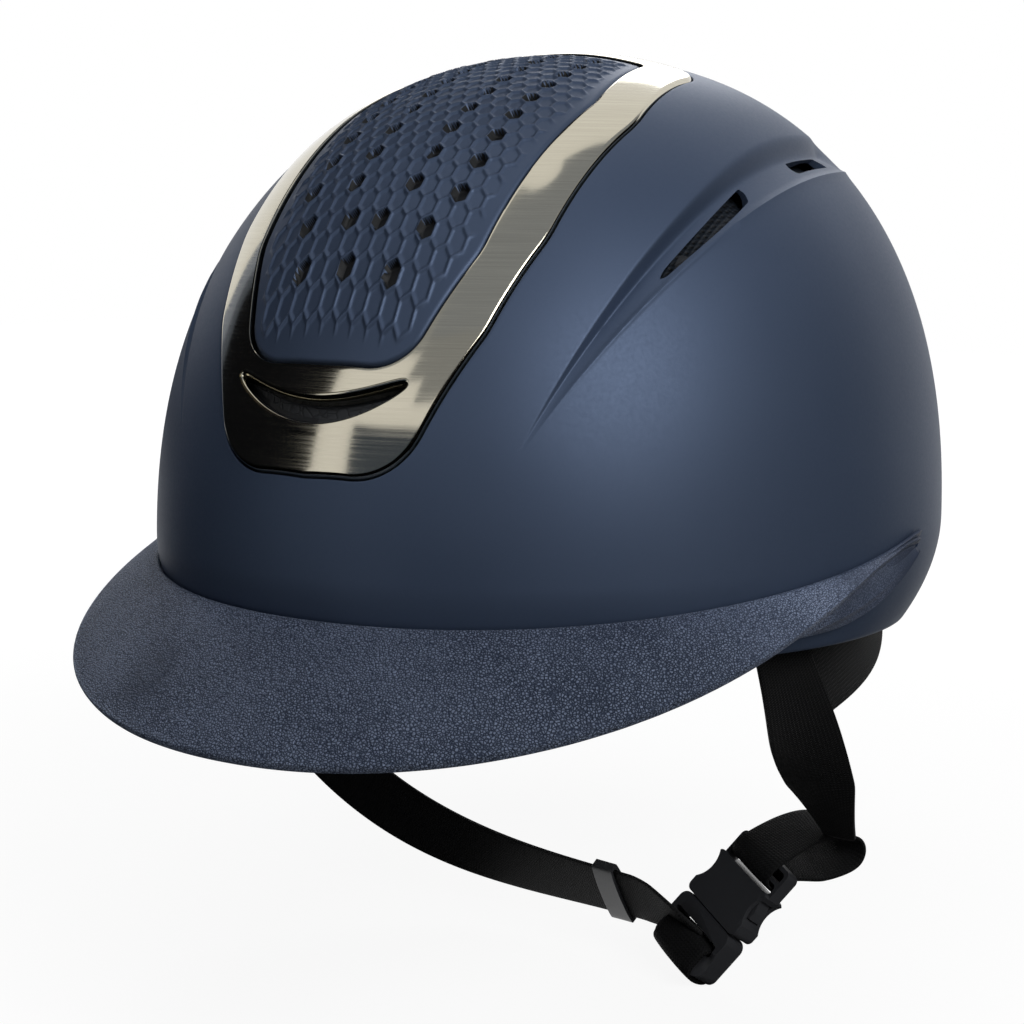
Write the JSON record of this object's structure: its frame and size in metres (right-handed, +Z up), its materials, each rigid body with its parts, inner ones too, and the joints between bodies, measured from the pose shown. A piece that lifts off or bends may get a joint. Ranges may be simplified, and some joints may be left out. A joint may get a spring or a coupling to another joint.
{
  "type": "riding helmet",
  "caption": "Riding helmet with a moulded shell, wrap-round peak, vented honeycomb crown, foam liner, nape size adjuster and a chin strap with a side-release buckle.",
  "frame": {"origin": "centre of the head at the brow line: the point that the wearer's head comes to, midway across the shell", "axes": "+Z up to the crown, -Y to the front where the peak is, +X to the wearer's left"},
  "size_m": [0.2194, 0.2961, 0.2724],
  "materials": {
    "shell": "matt navy moulded ABS",
    "peak": "matt fine-grained",
    "panel": "soft-touch matt",
    "trim": "brushed dark gunmetal",
    "black_plastic": "satin black",
    "foam": "matt black expanded foam",
    "binding": "matt",
    "padding": "brushed knit",
    "webbing": "woven"
  },
  "bodies": {
    "helmet": {"outer_shell": "shell", "peak": "peak", "vent_trim": "trim", "crown_panel": "panel", "front_louvre": "black_plastic", "side_mesh_front_left": "black_plastic", "side_mesh_rear_left": "black_plastic", "side_mesh_front_right": "black_plastic", "side_mesh_rear_right": "black_plastic", "eps_liner": "foam", "rim_binding": "binding", "brow_pad": "padding", "side_pad_left": "padding", "side_pad_right": "padding", "crown_pad": "padding", "nape_pad": "padding", "temple_guide_left": "black_plastic", "temple_guide_right": "black_plastic", "adjuster_hanger": "black_plastic", "adjuster_housing": "black_plastic", "adjuster_cover": "black_plastic", "anchor_front_left": "black_plastic", "anchor_rear_left": "black_plastic", "anchor_front_right": "black_plastic", "anchor_rear_right": "black_plastic", "front_strap_left": "webbing", "rear_strap_left": "webbing", "front_strap_right": "webbing", "rear_strap_right": "webbing", "buckle_loop": "webbing", "buckle_socket": "black_plastic"},
    "plug": {"buckle_plug": "black_plastic", "prong_left": "black_plastic", "prong_right": "black_plastic", "strap_keeper": "black_plastic", "chin_strap": "webbing"},
    "dial": {"adjuster_dial": "black_plastic"},
    "band_left": {"band_left": "black_plastic"},
    "band_right": {"band_right": "black_plastic"}
  },
  "joints": [
    {"name": "buckle_release", "type": "slide", "parent": "helmet", "child": "plug", "axis": [-0.5261, -0.3912, -0.7551], "range_m": [0, 0.024], "deforming": ["prong_left", "prong_right", "chin_strap"]},
    {"name": "dial_turn", "type": "hinge", "parent": "helmet", "child": "dial", "pos_m": [0, 0.098, -0.019], "axis": [0, 1, 0], "range_deg": [-110, 110]},
    {"name": "band_left_slide", "type": "hinge", "parent": "helmet", "child": "band_left", "pos_m": [0, 0.019, -0.019], "axis": [0, 0, 1], "range_deg": [-7, 7]},
    {"name": "band_right_slide", "type": "hinge", "parent": "helmet", "child": "band_right", "pos_m": [0, 0.019, -0.019], "axis": [0, 0, 1], "range_deg": [-7, 7]}
  ],
  "couplings": [
    {"joint": "band_left_slide", "follows": "dial_turn", "ratio": -0.063291},
    {"joint": "band_right_slide", "follows": "dial_turn", "ratio": 0.063291}
  ]
}
